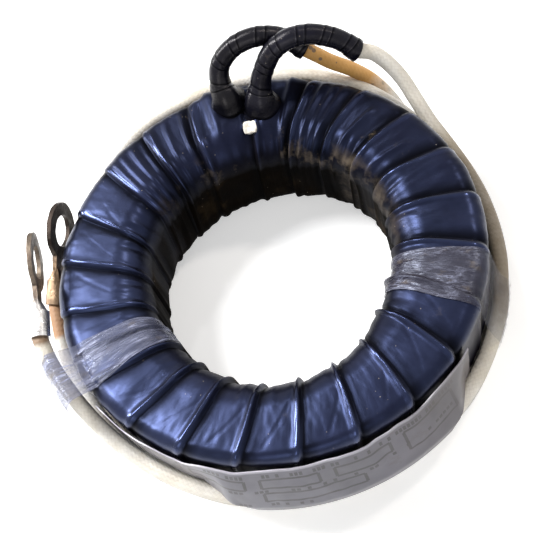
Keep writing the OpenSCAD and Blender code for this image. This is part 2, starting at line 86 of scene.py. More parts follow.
# the loops' routes: angle, share of the way from the window to the outside, height over the top
LOOP_1 = [
    (69.5, 0.576, 0.1), (69.5, 0.588, 2.4), (68.8, 0.649, 5), (66.8, 0.735, 9.5), (63.2, 0.837, 14.4),
    (58.3, 0.927, 17), (53.2, 1.024, 16.5), (48.4, 1.09, 14.5), (44.6, 1.131, 11.8)]
LOOP_2 = [
    (80.6, 0.706, 0.1), (80.8, 0.727, 2.4), (81.2, 0.829, 5), (79.4, 0.943, 9.6), (74.4, 1, 13.8),
    (68.2, 1.045, 15), (63.2, 1.09, 13.2), (59.4, 1.098, 10.6)]
LEAD_D, LOOP_D = 4.2, 5.8
# the terminals: heading, rise and roll, then the stud's distance from the ring's axis, across the
# heading and along it, and its height
TERMINALS = {1: ((74, 9.5, 10.5), (60.55, 5.75, 40)), 2: ((62, 19, 0), (60.15, 7.65, 30))}
REACH, BARREL_LEN, BARREL_D, BORE_D, RING_D, HOLE_D, RING_T = 17.4, 7.0, 5.8, 4.0, 16.0, 9.0, 1.2


def outer_swell(a):
    """How far the outside is out of round at an angle."""
    return 0.8 * np.cos(np.radians(2 * (a - 174)))


def window_swell(a):
    """How far the window is out of round at an angle."""
    return 0.9 * np.cos(np.radians(3 * (a - 21)))


def step01(t):
    """A smooth step from 0 to 1."""
    t = np.clip(t, 0, 1)
    return t * t * (3 - 2 * t)


def turn_angle(x):
    """The angle of a turn of tape; the turns crowd together beside the loops."""
    u = np.mod(x, TURNS)
    push = 8 * (step01((u - 4.2) / 0.9) - step01((u - 10.3) / 1.7))
    return 10 + 360 / TURNS * x + push


def on_ring(a, r, z):
    """Places at angles, radii and heights."""
    a = np.radians(a)
    return np.stack([r * np.cos(a), r * np.sin(a), z + 0 * a], -1)


def section_at(j):
    """Place, outward direction and crest weight on the ring's section at step j of 26."""
    j = np.mod(np.asarray(j, float), SECTION_N)
    out = [np.zeros_like(j) for _ in range(5)]
    at = 0.0
    for k in range(4):
        r0, z0, rad, start = CORNERS[k]
        n = CORNER_STEPS[k]
        m = (j >= at) & (j <= at + n)
        b = np.radians(start + 90 * (j - at) / n)
        arc = (r0 + rad * np.cos(b), z0 + rad * np.sin(b), np.cos(b), np.sin(b), WEIGHTS[k] + 0 * b)
        for o, v in zip(out, arc):
            o[m] = v[m]
        at += n
        n = SIDE_STEPS[k]
        nr, nz, nrad, nstart = CORNERS[(k + 1) % 4]
        b0, b1 = math.radians(start + 90), math.radians(nstart)
        p = (r0 + rad * math.cos(b0), z0 + rad * math.sin(b0), math.cos(b0), math.sin(b0), WEIGHTS[k])
        q = (nr + nrad * math.cos(b1), nz + nrad * math.sin(b1), math.cos(b1), math.sin(b1), WEIGHTS[(k + 1) % 4])
        m = (j > at) & (j < at + n)
        t = (j - at) / n
        for o, a, b in zip(out, p, q):
            o[m] = (a + (b - a) * t)[m]
        at += n
    return out


def noise_grid(a, b, seed, period=None):
    """Smooth value noise of two arrays. With a period, it closes on itself along the first."""
    def lattice(i, k):
        if period:
            i = np.mod(i, period)
        v = np.sin(i * 127.1 + k * 311.7 + seed * 74.7) * 43758.5453
        return v - np.floor(v)
    ia, ib = np.floor(a), np.floor(b)
    fa, fb = step01(a - ia), step01(b - ib)
    low = lattice(ia, ib) * (1 - fa) + lattice(ia + 1, ib) * fa
    high = lattice(ia, ib + 1) * (1 - fa) + lattice(ia + 1, ib + 1) * fa
    return (low * (1 - fb) + high * fb) * 2 - 1


def round_noise(a, cells, b, seed, skew=0.0):
    """Noise with a number of cells round the ring."""
    return noise_grid(np.mod(a, 360) * cells / 360 + skew, b, seed, cells)


# Folds in the tape: angle at mid-top, skew over the top, width in degrees, height, reach in steps.
# They are the folds left and right of the loops, the thin creases, and single folds.
LEFT_FOLDS = ((98, 0.7), (104, 0.5), (109, 0.7), (113, 0.45), (117, 0.6), (121, 0.5), (124, 0.7))
RIGHT_FOLDS = ((41, 0.7), (45, 0.6), (48, 0.5), (51.5, 0.7), (56, 0.8))
CREASES = (252, 270, 287, 222, 237, 208, 164, 300, 314, 150, 137)
FOLDS = (
    [(a, 3, 1.3, h, (8, 21)) for a, h in LEFT_FOLDS]
    + [(a, 2, 1.2, h, (8, 20)) for a, h in RIGHT_FOLDS]
    + [(a, 9, 0.45, -0.13, (8.5, 17)) for a in CREASES]
    + [(61, 1, 2.0, 0.8, (7, 18)), (70, -1, 3.0, 1.1, (6.5, 14.5)), (87, 0, 3.2, 1.1, (6.5, 15)),
       (94, 2, 1.6, 0.5, (8, 19)), (26, 3, 1.4, 0.4, (9, 19)), (33, 3, 1.2, 0.5, (9, 19)),
       (16, 3, 1, 0.35, (10, 18))])


def turn_at(a):
    """Which turn crosses the middle of the top at an angle."""
    x = np.linspace(-3, TURNS + 3, 6000)
    return np.interp(a, turn_angle(x), x)


def lot(k, seed):
    """A fixed draw from 0 to 1 for each turn, passing smoothly from one turn to the next."""
    k = np.mod(k, TURNS)
    v = np.sin(k * 12.9898 + seed * 78.233) * 43758.5453
    return v - np.floor(v)


def wrap_height(turn, j, a):
    """How proud the tape stands over its crests' outline, at a turn's phase, a step and an angle."""
    w = section_at(j)[4]
    k, u = np.floor(turn), turn - np.floor(turn)
    size, following = (0.82 + 0.18 * np.sin(np.radians(137.0 * np.mod(t, TURNS))) for t in (k, k + 1))
    size = size + (following - size) * j / SECTION_N
    near = step01((np.cos(np.radians(a - 262)) + 0.1) / 0.9)
    over = step01((j - 7.0) / 2)
    # each turn rises over the last one, ends in a welt, and drops into a groove at its edge
    welt = (0.12 + 0.3 * lot(k, 1) + 0.5 * near) * (0.3 + 0.7 * over)
    rise = (0.2 + 0.55 * u ** 0.9 + 0.14 * np.sin(np.pi * np.clip(u / 0.8, 0, 1))
            + welt * np.exp(-((u - 0.865) / 0.055) ** 2))
    rise = rise * step01(u / 0.07) * (1 - step01((u - 0.905) / 0.075))
    h = CREST * w * (rise * size * 1.22 - 1.15)
    # the top's crown and folds
    top = step01((j - 6.0) / 2) * step01((22.5 - j) / 3)
    side = step01((j - 1.5) / 2) * step01((24 - j) / 2)
    h = h + 0.28 * np.exp(-((j - 10.8) / 2.4) ** 2)
    for mid, skew, width, high, (j0, j1) in FOLDS:
        d = np.mod(a - mid - skew * (j - 11) / 4 + 180, 360) - 180
        reach = step01((j - j0) / 1.5) * step01((j1 - j) / 3)
        x = d / width
        h = h + high * reach * np.where(x > 0, np.exp(-(x * 2.4) ** 2), np.exp(-(x * 0.9) ** 2))
    # the slit between the two loops' skirts, then puckers in the window and slack on the top
    slit = np.mod(a - 75.6 - 0.35 * (j - 11) + 180, 360) - 180
    h = h - 1.3 * np.exp(-(slit / 1.1) ** 2) * step01((j - 7.5) / 1) * step01((16 - j) / 3)
    inner = step01((j - 12.5) / 3) * step01((23.5 - j) / 3)
    warp = 0.9 * round_noise(a, 40, j / 3, 5)
    h = h + 0.42 * inner * round_noise(a, 130, j / 4.5, 1, warp)
    loose = (0.5 + 1.1 * lot(k, 4) * np.sin(np.pi * u) ** 0.5) * (1 - 0.9 * near)
    h = h + 0.06 * top * loose * round_noise(a, 220, j / 5.0, 2, j * 0.25)
    h = h + 0.16 * top * loose * round_noise(a, 80, j / 6.5, 3, -j * 0.3)
    left = step01((np.cos(np.radians(a - 165)) - 0.35) / 0.4)
    h = h + 0.22 * top * left * round_noise(a, 66, j / 9.0, 6, j * 0.08)
    h = h + 0.05 * side * round_noise(a, 400, j / 1.2, 4)
    return np.maximum(h, -1.2)


def wrap_surface(a, j, turn, over=0.0):
    """Places on the tape, or a little over it."""
    r, z, nr, nz, _ = section_at(j)
    h = wrap_height(turn, j, a) + over
    rr = r + nr * h + np.maximum(nr, 0) * outer_swell(a) + np.maximum(-nr, 0) * window_swell(a)
    return on_ring(a, rr, np.maximum(z + nz * h, 0.02))


# ---- small helpers for pieces ----
def clear_selection():
    """Leave edit mode with nothing selected."""
    if bpy.context.object and bpy.context.object.mode != "OBJECT":
        bpy.ops.object.mode_set(mode="OBJECT")
    bpy.ops.object.select_all(action="DESELECT")


def pick(o):
    """Make an object the only one selected, and the active one."""
    clear_selection()
    o.select_set(True)
    bpy.context.view_layer.objects.active = o


def named(name):
    """Name the object that was just added."""
    o = bpy.context.object
    o.name = name
    o.data.name = name
    return o


def place_applied(o):
    """Put an object's place and turn into its mesh."""
    pick(o)
    bpy.ops.object.transform_apply(location=True, rotation=True, scale=True)


def apply_modifier(o, kind, **settings):
    """Add a modifier and apply it."""
    pick(o)
    m = o.modifiers.new(kind.lower(), kind)
    for k, v in settings.items():
        setattr(m, k, v)
    bpy.ops.object.modifier_apply(modifier=m.name)


def move_points(o, pts):
    """Move an object's points to an array of places in millimetres."""
    o.data.vertices.foreach_set("co", (np.asarray(pts) * MM).astype(np.float32).ravel())
    o.data.update()


def smooth(o, angle=None):
    """Shade an object smooth, or only its edges flatter than an angle."""
    pick(o)
    if angle is None:
        bpy.ops.object.shade_smooth()
    else:
        bpy.ops.object.shade_smooth_by_angle(angle=math.radians(angle))


def dress(o, mat):
    """Give an object one material."""
    o.data.materials.clear()
    o.data.materials.append(mat)


def finish_piece(o, mat, node):
    """Give a piece its material, ride it on the body, and hide the solid that it stands for."""
    dress(o, mat)
    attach(o, "root")
    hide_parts(node)


def catmull(points, per=10):
    """A smooth curve through points."""
    p = np.asarray(points, float)
    out = []
    for i in range(len(p) - 1):
        p0, p1, p2, p3 = p[max(i - 1, 0)], p[i], p[i + 1], p[min(i + 2, len(p) - 1)]
        for t in np.arange(per) / per:
            out.append(0.5 * (2 * p1 + (p2 - p0) * t + (2 * p0 - 5 * p1 + 4 * p2 - p3) * t * t
                              + (3 * p1 - p0 - 3 * p2 + p3) * t ** 3))
    out.append(p[-1])
    return np.array(out)


def evenly(path, step):
    """A path at even steps, with the length to each of its points."""
    d = np.r_[0, np.cumsum(np.linalg.norm(np.diff(path, axis=0), axis=1))]
    n = max(int(round(d[-1] / step)), 2)
    s = np.linspace(0, d[-1], n + 1)
    return np.stack([np.interp(s, d, path[:, i]) for i in range(3)], -1), s


def terminal_frame(k):
    """A terminal's stud centre, and the directions along it, through its hole and across it."""
    (head, rise, roll), (hug, along, z) = TERMINALS[k]
    h, p, q = math.radians(head), math.radians(rise), math.radians(roll)
    stud = np.array([along * math.cos(h) - hug * math.sin(h), along * math.sin(h) + hug * math.cos(h), z])
    x = np.array([math.cos(h) * math.cos(p), math.sin(h) * math.cos(p), math.sin(p)])
    y = np.array([-math.sin(h), math.cos(h), 0.0])
    y = y * math.cos(q) + np.cross(x, y) * math.sin(q)
    return stud, x, y, np.cross(x, y)


def mouth(k):
    """The open end of a terminal's barrel."""
    stud, x, _, _ = terminal_frame(k)
    return stud - (REACH + BARREL_LEN / 2) * x


def lead_points(route, k):
    """A lead's route from its loop to its terminal's barrel."""
    a, d, z = np.array(route, float).T
    return np.vstack([on_ring(a, OUTER + outer_swell(a) + d, z), mouth(k)])


def loop_points(route, last):
    """A loop's route, up to where its lead starts."""
    a, r, z = np.array(route, float).T
    return np.vstack([on_ring(a, WINDOW + r * (OUTER - WINDOW), z + HEIGHT), last])


def grid_piece(name, pts, uv):
    """A grid primitive laid over an array of points in millimetres, with its UV map."""
    cols, rows = pts.shape[:2]
    clear_selection()
    bpy.ops.mesh.primitive_grid_add(x_subdivisions=cols - 1, y_subdivisions=rows - 1, size=2)
    o = named(name)
    n = len(o.data.vertices)
    co = np.empty(n * 3, np.float32)
    o.data.vertices.foreach_get("co", co)
    co = co.reshape(-1, 3)
    c = np.rint((co[:, 0] + 1) / 2 * (cols - 1)).astype(int)
    r = np.rint((co[:, 1] + 1) / 2 * (rows - 1)).astype(int)
    move_points(o, pts[c, r])
    layer = o.data.uv_layers[0]
    layer.name = "UVMap"
    vi = np.empty(len(o.data.loops), int)
    o.data.loops.foreach_get("vertex_index", vi)
    layer.data.foreach_set("uv", uv[c[vi], r[vi]].astype(np.float32).ravel())
    return o


def tube_mesh(name, path, radius_at, sides, first=None, last=None):
    """A closed tube round a path, its own UV map in millimetres: round it, and along it."""
    n = len(path)
    t = np.gradient(path, axis=0)
    if first is not None:
        t[0] = first
    if last is not None:
        t[-1] = last
    t /= np.linalg.norm(t, axis=1)[:, None]
    side = np.cross(t[0], (0.3, 0.2, 1.0))
    frames = []
    for i in range(n):
        side = side - t[i] * side.dot(t[i])
        side = side / np.linalg.norm(side)
        frames.append((side, np.cross(t[i], side)))
    s = np.r_[0, np.cumsum(np.linalg.norm(np.diff(path, axis=0), axis=1))]
    verts = []
    for place, (u, v), at in zip(path, frames, s):
        for b in 2 * np.pi * np.arange(sides) / sides:
            verts.append(place + radius_at(at, b, s[-1]) * (math.cos(b) * u + math.sin(b) * v))
    # four-sided faces all along, each with its corners on the UV map, and an end at each side
    quads = [((i, q), (i, q + 1), (i + 1, q + 1), (i + 1, q)) for i in range(n - 1) for q in range(sides)]
    faces = [[i * sides + q % sides for i, q in quad] for quad in quads]
    faces += [range(sides - 1, -1, -1), range((n - 1) * sides, n * sides)]
    mesh = bpy.data.meshes.new(name)
    mesh.from_pydata([tuple(v * MM) for v in verts], [], faces)
    uv = mesh.uv_layers.new(name="UVMap")
    for k, (i, q) in enumerate(corner for quad in quads for corner in quad):
        uv.data[k].uv = (q / sides, s[i])
    o = bpy.data.objects.new(name, mesh)
    bpy.context.scene.collection.objects.link(o)
    return o


# ---- materials ----
class Nodes:
    """The nodes of a new material, or of a world, added and linked in short calls."""

    def __init__(self, name, owner=None):
        self.mat = owner or bpy.data.materials.new(name)
        self.mat.use_nodes = True
        self.tree = self.mat.node_tree
        self.shader = self.tree.nodes.get("Principled BSDF")

    def add(self, kind, ins=None, **props):
        n = self.tree.nodes.new("ShaderNode" + kind)
        for k, v in props.items():
            setattr(n, k, v)
        for k, v in (ins or {}).items():
            self.put(n.inputs[k], v)
        return n

    def put(self, socket, v):
        """Set a socket, or link it to another socket or to a node's first output."""
        if hasattr(v, "outputs"):
            v = v.outputs[0]
        if isinstance(v, bpy.types.NodeSocket):
            self.tree.links.new(v, socket)
        else:
            socket.default_value = v

    def math(self, op, a, b=0.0, c=0.0, clamp=False):
        return self.add("Math", {0: a, 1: b, 2: c}, operation=op, use_clamp=clamp)

    def times(self, a, b, clamp=False):
        return self.math("MULTIPLY", a, b, clamp=clamp)

    def linear(self, x, slope, base, clamp=False):
        """Slope times x, plus base; clamped, a mask from 0 to 1."""
        return self.math("MULTIPLY_ADD", x, slope, base, clamp)

    def uv(self):
        return self.add("UVMap", uv_map="UVMap")

    def parts(self, vec):
        """The X, Y and Z of a vector."""
        return self.add("SeparateXYZ", {0: vec}).outputs

    def coords(self, scale=(1, 1, 1), source="Object"):
        c = self.add("TexCoord").outputs["Object"] if source == "Object" else self.uv()
        return self.add("Mapping", {"Vector": c, "Scale": scale})

    def seen(self):
        """1 on what the camera sees itself, or in metal or glass."""
        path = self.add("LightPath").outputs
        return self.math("MAXIMUM", path["Is Camera Ray"],
                         self.math("MAXIMUM", path["Is Glossy Ray"], path["Is Transmission Ray"]))

    def noise(self, vec, scale, detail=4.0, rough=0.55, distortion=0.0):
        return self.add("TexNoise", {"Vector": vec, "Scale": scale, "Detail": detail, "Roughness": rough,
                                     "Distortion": distortion}).outputs["Fac"]

    def ramp(self, fac, stops):
        """Greys or colours at places from 0 to 1."""
        r = self.add("ValToRGB", {"Fac": fac})
        e = r.color_ramp.elements
        while len(e) < len(stops):
            e.new(0.5)
        for el, (pos, col) in zip(e, stops):
            el.position = pos
            el.color = (col[0], col[1], col[2], 1) if hasattr(col, "__len__") else (col, col, col, 1)
        return r

    def mix(self, fac, a, b):
        m = self.add("Mix", data_type="RGBA")
        self.put(m.inputs[0], fac)
        for socket, v in ((6, a), (7, b)):
            self.put(m.inputs[socket], (*v, 1) if isinstance(v, tuple) else v)
        return m.outputs[2]

    def bump(self, height, strength, distance, after=None):
        b = self.add("Bump", {"Strength": strength, "Distance": distance, "Height": height})
        if after is not None:
            self.put(b.inputs["Normal"], after)
        return b

    def set(self, **sockets):
        """Set the shader's sockets, and give back the material."""
        for k, v in sockets.items():
            self.put(self.shader.inputs[k.replace("_", " ")], v)
        return self.mat


def vinyl(name, sheen=0.42, tint=(0.34, 0.45, 1.0, 1.0), far_side_shade=0.42, lap=0.0):
    """Black tape: a navy sheen on top, tinted blue as a painted reflection of blue sky light; less glossy in the
    window and at the foot of the wall, with painted shade and a painted brown reflection there; painted shade beside
    each edge, and painted shade as less sheen on the side away from the label.
    Its UV map runs in turns and round the section, or round and along a loop, whose laps are lap apart."""
    n = Nodes(name)
    obj = n.coords()
    turn, along, _ = n.parts(n.uv())
    if lap:
        uneven = n.linear(n.math("SINE", n.times(along, 0.9)), 0.8, along)
        turn = n.linear(uneven, 1 / lap, turn)
    phase = n.math("FRACT", turn)
    edge = n.ramp(phase, [(0.0, 1.0), (0.07, 0.75), (0.24, 0.0), (0.93, 0.0), (0.975, 1.0)])
    fine = n.noise(n.coords((30, 9, 1), "UV"), 2.2, 4, 0.55, 0.3)
    soft = n.noise(n.coords((3.2, 8, 1), "UV"), 1.3, 2, 0.5, 0.5)
    broad = n.noise(obj, 60.0, 4, 0.6)
    speck = n.noise(obj, 1500.0, 3, 0.6)
    # masks: the window, the foot of the wall, and either of them, where painted shade darkens the tape; and the side
    # away from the label, where painted shade lowers the sheen
    x, y, z = n.parts(obj)
    r = n.math("SQRT", n.math("ADD", n.times(x, x), n.times(y, y)))
    inside = n.times(n.linear(r, -230.0, 8.75, clamp=True), n.linear(z, -90.0, 3.05, clamp=True))
    dull_and_shaded = n.math("MAXIMUM", inside, n.linear(z, -60.0, 1.4, clamp=True))
    # the side away from the label, where painted shade lowers the sheen
    away = n.linear(y, 25.0, n.linear(x, 17.0, -0.1), clamp=True)
    # colour: the tape, painted shade and a painted brown reflection in the window, painted shade beside its edges,
    # dust, the pale brown of the window's rim (partly dust, partly a painted highlight), and crumbs
    top = n.ramp(broad, [(0.3, (0.002, 0.002, 0.003)), (0.6, (0.004, 0.004, 0.009)),
                         (0.8, (0.009, 0.010, 0.021))])
    # the colour in the window and at the wall's foot: painted shade, with a painted brown reflection in its lighter
    # patches
    dark = n.ramp(broad, [(0.3, (0.001, 0.001, 0.0008)), (0.58, (0.005, 0.0035, 0.002)),
                          (0.75, (0.03, 0.02, 0.01))])
    colour = n.mix(dull_and_shaded, top, dark)
    # painted shade beside each turn's edge, where the laps step down
    colour = n.mix(n.times(edge, 0.7), colour, (0.002, 0.002, 0.002))
    dust = n.times(n.ramp(n.noise(obj, 190.0, 7, 0.74), [(0.64, 0.0), (0.75, 1.0)]), n.linear(edge, 0.35, 0.10))
    colour = n.mix(dust, colour, (0.22, 0.17, 0.11))
    # a pale brown band along the window's rim on the side away from the label: partly dust, partly a painted
    # highlight
    rim = n.times(n.times(inside, n.math("SUBTRACT", 1.0, inside)), away)
    rim = n.times(rim, n.ramp(n.noise(obj, 110.0, 5, 0.65), [(0.5, 0.0), (0.72, 4.0)]))
    colour = n.mix(n.math("MINIMUM", rim, 0.8), colour, (0.17, 0.135, 0.10))
    crumb = n.add("TexVoronoi", {"Vector": obj, "Scale": 420.0})
    crumb = n.times(n.math("LESS_THAN", crumb.outputs["Distance"], 0.06), n.ramp(broad, [(0.5, 0.0), (0.56, 0.5)]))
    colour = n.mix(crumb, colour, (0.35, 0.30, 0.24))
    # polish: best on each turn's crest, with a painted sheen on the left, and least in the masks above
    crest = n.times(n.ramp(phase, [(0.79, 0.0), (0.86, 1.0), (0.92, 0.0)]),
                    n.math("SUBTRACT", 1.0, dull_and_shaded, clamp=True))
    rough = n.linear(broad, 0.16, 0.18 if lap else 0.25)
    for mask, more in ((dull_and_shaded, 0.30), (dust, 0.6), (crest, -0.15)):
        rough = n.linear(mask, more, rough)
    # less sheen in the window, at the wall's foot and beside each edge: painted shade
    shine = n.linear(n.math("MAXIMUM", dull_and_shaded, n.times(edge, 0.92)), -0.97 * sheen, sheen)
    # less sheen on the side away from the label: painted shade
    shine = n.times(shine, n.linear(away, -far_side_shade, 1.0))
    shine = n.times(shine, n.ramp(n.noise(obj, 95.0, 5, 0.6), [(0.35, 0.7), (0.65, 1.2)]))
    # more sheen on the left, where the light falls: a painted sheen
    painted_left_sheen = n.times(n.linear(x, -40.0, -0.8, clamp=True), 0.8)
    shine = n.times(shine, n.math("ADD", painted_left_sheen, 1.0))
    shine = n.linear(crest, sheen * 0.9, shine)
    bump = n.bump(speck, 0.06, 0.0001, n.bump(fine, 0.04, 0.0002, n.bump(soft, 0.14, 0.0005)))
    # the tint turns the reflections blue: a painted reflection of blue sky light
    return n.set(Base_Color=colour, Roughness=rough, Normal=bump, IOR=1.55, Specular_IOR_Level=shine,
                 Specular_Tint=tint)


def braid(name, light, dark, stain, amount, end, end_colour, golden):
    """Diagonal braid in millimetres along the lead, stained in patches, browner with painted shade along the run at
    the right, golden-brown up to one mark and of the end's colour past the other."""
    n = Nodes(name)
    turn, length, _ = n.parts(n.uv())
    # two sets of strands that cross, over and under in turn
    around, along = n.times(turn, 10.0), n.times(length, 0.7)
    a, b = n.math("ADD", around, along), n.math("SUBTRACT", around, along)
    over = n.math("MODULO", n.math("ADD", n.math("FLOOR", a), n.math("FLOOR", n.math("ADD", b, 400.0))), 2.0)
    under = n.math("SUBTRACT", 1.0, over)
    ha, hb = (n.math("SINE", n.times(n.math("FRACT", v), math.pi)) for v in (a, b))
    top = n.math("ADD", n.times(ha, over), n.times(hb, under))
    threads = n.math("SINE", n.times(n.math("ADD", n.times(a, over), n.times(b, under)), 31.4))
    height = n.linear(threads, 0.12, n.math("POWER", top, 0.6))
    # colour: stained patches, grime, painted shade along the run at the right, and painted shade in the gaps between
    # strands
    obj = n.coords()
    patch = n.noise(obj, 55.0, 5, 0.65)
    grime = n.ramp(n.noise(obj, 160.0, 5, 0.7), [(0.35, 0.0), (0.7, 1.0)])
    base = n.mix(n.ramp(patch, [(0.35, 0.0), (0.65, 1.0)]), light, stain)
    base = n.mix(n.times(grime, amount), base, dark)
    x, y, _ = n.parts(obj)
    # browner along the run at the right, beside the clear tape: painted shade
    right_run_shade = n.times(n.linear(x, 160.0, -7.1, clamp=True),
                     n.times(n.linear(y, -50.0, 1.4, clamp=True), n.linear(y, 60.0, 2.7, clamp=True)))
    base = n.mix(n.times(right_run_shade, n.linear(patch, 0.6, 0.5)), base, (0.17, 0.125, 0.075))
    # darker in the gaps between strands: painted shade
    gap_shade = n.ramp(top, [(0.0, 1.0), (0.45, 0.0)])
    base = n.mix(n.times(gap_shade, 0.2), base, dark)
    # the golden start with its dark spots, and the end
    first = n.linear(n.linear(patch, 24.0, length), -0.09, 0.09 * (golden + 14.0), clamp=True)
    base = n.mix(n.times(first, 0.93), base, (0.62, 0.31, 0.06))
    spot = n.add("TexVoronoi", {"Vector": n.coords(), "Scale": 330.0})
    spot = n.times(n.math("LESS_THAN", spot.outputs["Distance"], 0.21), first)
    base = n.mix(n.times(spot, 0.75), base, (0.08, 0.07, 0.07))
    last = n.math("SUBTRACT", n.linear(patch, 4.0, length), end + 2.0)
    base = n.mix(n.times(n.times(last, 0.7, clamp=True), 0.9), base, end_colour)
    return n.set(Base_Color=base, Roughness=n.linear(patch, 0.3, 0.4), Normal=n.bump(height, 0.4, 0.00025), IOR=1.5)


def metal(name, ring, barrel, dark, rough, cut):
    """Worn sheet metal, tarnished in patches: one tone on the ring and its tongue, another on the barrel,
    which ends at a cut along Y."""
    n = Nodes(name)
    obj = n.coords()
    side = n.linear(n.parts(obj)[1], 450.0, -450.0 * cut * MM, clamp=True)
    patch = n.ramp(n.noise(obj, 260.0, 6, 0.7, 0.6), [(0.38, 0.0), (0.64, 1.0)])
    spots = n.ramp(n.noise(obj, 900.0, 4, 0.7), [(0.55, 0.0), (0.7, 1.0)])
    scratch = n.noise(n.coords((900, 120, 900)), 2.0, 4, 0.6)
    colour = n.mix(side, barrel, ring)
    colour = n.mix(n.times(patch, n.linear(side, 0.35, 0.5)), colour, dark)
    colour = n.mix(n.times(spots, 0.5), colour, dark)
    return n.set(Base_Color=colour, Metallic=0.9, Roughness=n.linear(patch, 0.22, n.linear(side, 0.1, rough)),
                 Normal=n.bump(scratch, 0.2, 0.00015, n.bump(patch, 0.25, 0.0003)))


def strands(name):
    """Bare copper strands, end on."""
    n = Nodes(name)
    cell = n.add("TexVoronoi", {"Vector": n.coords(), "Scale": 1500.0}).outputs["Distance"]
    # darker towards the edges of each strand, in the gaps between them: painted shade
    colour = n.mix(cell, (0.62, 0.3, 0.16), (0.2, 0.08, 0.04))
    return n.set(Base_Color=colour, Metallic=0.9, Roughness=0.4, Normal=n.bump(cell, 0.5, 0.0003))


# two colours, metallic, roughness and the grain's scale
SEALED_LOOKS = {
    "steel": ((0.42, 0.43, 0.45), (0.24, 0.24, 0.25), 0.85, 0.38, (80, 80, 2600)),
    "board": ((0.52, 0.4, 0.24), (0.4, 0.29, 0.16), 0.0, 0.85, (700, 700, 700)),
    "cotton": ((0.78, 0.72, 0.58), (0.6, 0.53, 0.4), 0.0, 0.9, (1200, 1200, 1200)),
    "copper": ((0.55, 0.2, 0.08), (0.32, 0.1, 0.04), 0.75, 0.25, (300, 300, 300))}


def hidden_solid(name, kind):
    """Finishes of the sealed layers, seen only where the part is taken apart."""
    n = Nodes(name)
    light, dark, metallic, rough, scale = SEALED_LOOKS[kind]
    grain = n.noise(n.coords(scale), 1.0, 4, 0.6)
    return n.set(Base_Color=n.mix(grain, light, dark), Metallic=metallic, Roughness=rough,
                 Normal=n.bump(grain, 0.25, 0.0002))


# the label's print, in millimetres along it and down it: empty boxes (along from, to, down from, to),
# and rows of dashes (down from, to, along from, to, dashes a millimetre, share left out)
BOXES = ((8, 25, 4, 8), (28, 42, 4, 8), (8, 30, 10.5, 14.5), (46, 60, 4, 8), (64, 78, 4, 8),
         (46, 70, 10.5, 14.5), (82, 97, 4, 12))
DASHES = ((1.7, 3.2, 6, 100, 0.9, 0.35), (8.8, 10.0, 26, 96, 0.8, 0.5), (15.6, 16.9, 12, 58, 0.9, 0.45))


def paper(name):
    """Grey-violet paper with generic print that spells nothing, with a painted highlight along its top edge and
    painted shade towards its right end."""
    n = Nodes(name)
    u, v, _ = n.parts(n.uv())

    def line(x, at, wide):
        return n.math("LESS_THAN", n.math("ABSOLUTE", n.math("SUBTRACT", x, at)), wide)

    def within(x, lo, hi):
        return n.times(n.math("GREATER_THAN", x, lo), n.math("LESS_THAN", x, hi))

    def stroke(x, ends, y, lo, hi):
        return n.times(n.math("MAXIMUM", *(line(x, at, 0.4) for at in ends)), within(y, lo, hi))

    marks = 0.0
    for u0, u1, v0, v1 in BOXES:
        box = n.math("MAXIMUM", stroke(u, (u0, u1), v, v0, v1), stroke(v, (v0, v1), u, u0, u1))
        marks = n.math("MAXIMUM", marks, box)
    for v0, v1, u0, u1, pitch, least in DASHES:
        cell = n.times(u, pitch)
        draw = n.add("TexWhiteNoise", {"W": n.math("FLOOR", cell)}, noise_dimensions="1D").outputs["Value"]
        dash = n.times(n.math("GREATER_THAN", draw, least), line(n.math("FRACT", cell), 0.5, 0.36))
        dash = n.times(dash, n.times(within(v, v0, v1), within(u, u0, u1)))
        marks = n.math("MAXIMUM", marks, dash)
    obj = n.coords()
    worn = n.noise(obj, 320.0, 6, 0.7)
    patch = n.noise(obj, 45.0, 5, 0.6)
    base = n.mix(n.ramp(patch, [(0.3, 0.0), (0.7, 1.0)]), (0.055, 0.053, 0.07), (0.135, 0.13, 0.165))
    ink = n.times(marks, n.ramp(worn, [(0.35, 1.0), (0.62, 0.75)]))
    base = n.mix(ink, base, (0.012, 0.010, 0.012))
    # lighter along the top edge, where it curls out: a painted highlight
    base = n.mix(n.ramp(v, [(0.35, 0.75), (1.3, 0.0)]), base, (0.50, 0.48, 0.55))
    grime = n.ramp(n.noise(obj, 120.0, 6, 0.75), [(0.55, 0.0), (0.72, 1.0)])
    # darker towards the right end: painted shade, with the grime stronger there too
    shade = n.linear(u, 0.03, -2.0, clamp=True)
    base = n.mix(n.times(shade, 0.62), base, (0.075, 0.062, 0.062))
    base = n.mix(n.times(grime, n.linear(shade, 0.35, 0.4)), base, (0.06, 0.045, 0.035))
    return n.set(Base_Color=base, Roughness=n.linear(patch, 0.25, 0.2), Normal=n.bump(worn, 0.12, 0.0002),
                 IOR=1.5, Specular_IOR_Level=0.35, Coat_Weight=0.1, Coat_Roughness=0.2)


FILM_RUN = 81.0                             # how far the films' UV map runs along them


